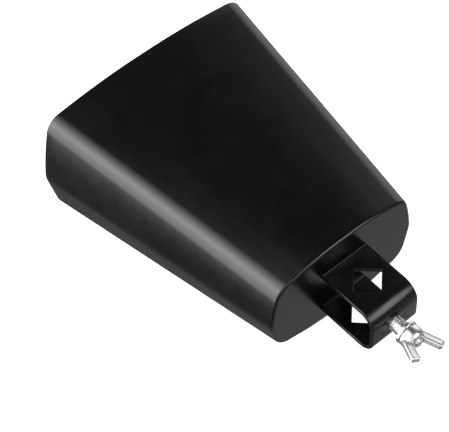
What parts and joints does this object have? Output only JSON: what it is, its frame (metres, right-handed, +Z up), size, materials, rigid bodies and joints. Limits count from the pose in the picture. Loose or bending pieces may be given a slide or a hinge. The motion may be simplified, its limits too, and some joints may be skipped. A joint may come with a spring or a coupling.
{
  "type": "cowbell",
  "caption": "Drum-set cowbell: tapered black sheet-metal bell with a closed end, a U-shaped rod bracket with diamond holes and a wing screw that clamps it.",
  "frame": {"origin": "bottom centre of the bounding box, on the floor under the bell as it lies on its lower broad face", "axes": "+X from the open mouth towards the closed end, bracket and wing screw; +Y across the bell's width; +Z up through the bell's thickness, so the upper broad face is the one that is struck"},
  "size_m": [0.2032, 0.133, 0.0748],
  "materials": {
    "bell_paint": "satin black paint over steel",
    "bracket_paint": "satin black paint over steel",
    "weld_paint": "black paint over rippled weld beads",
    "bright_plating": "bright zinc plate, slightly uneven",
    "cast_plating": "bright plated die casting"
  },
  "bodies": {
    "bell": {"bell_shell": "bell_paint", "seam_weld": "weld_paint", "end_plate": "bell_paint", "end_plate_weld": "weld_paint", "bracket_strap": "bracket_paint", "bracket_weld_upper": "weld_paint", "bracket_weld_lower": "weld_paint"},
    "washer": {"washer": "bright_plating"},
    "wing_screw": {"screw_stud": "bright_plating", "wing_head": "cast_plating"}
  },
  "joints": [
    {"name": "screw_advance", "type": "slide", "parent": "bell", "child": "washer", "axis": [0.9976, 0, -0.0689], "range_m": [-0.00565, 0.00755]},
    {"name": "screw_turn", "type": "hinge", "parent": "washer", "child": "wing_screw", "pos_m": [0.08657, 0.0007, 0.02088], "axis": [0.9976, 0, -0.0689], "range_deg": [-1620, 2160]}
  ],
  "couplings": [
    {"joint": "screw_advance", "follows": "screw_turn", "m_per_rad": 0.00019894}
  ]
}
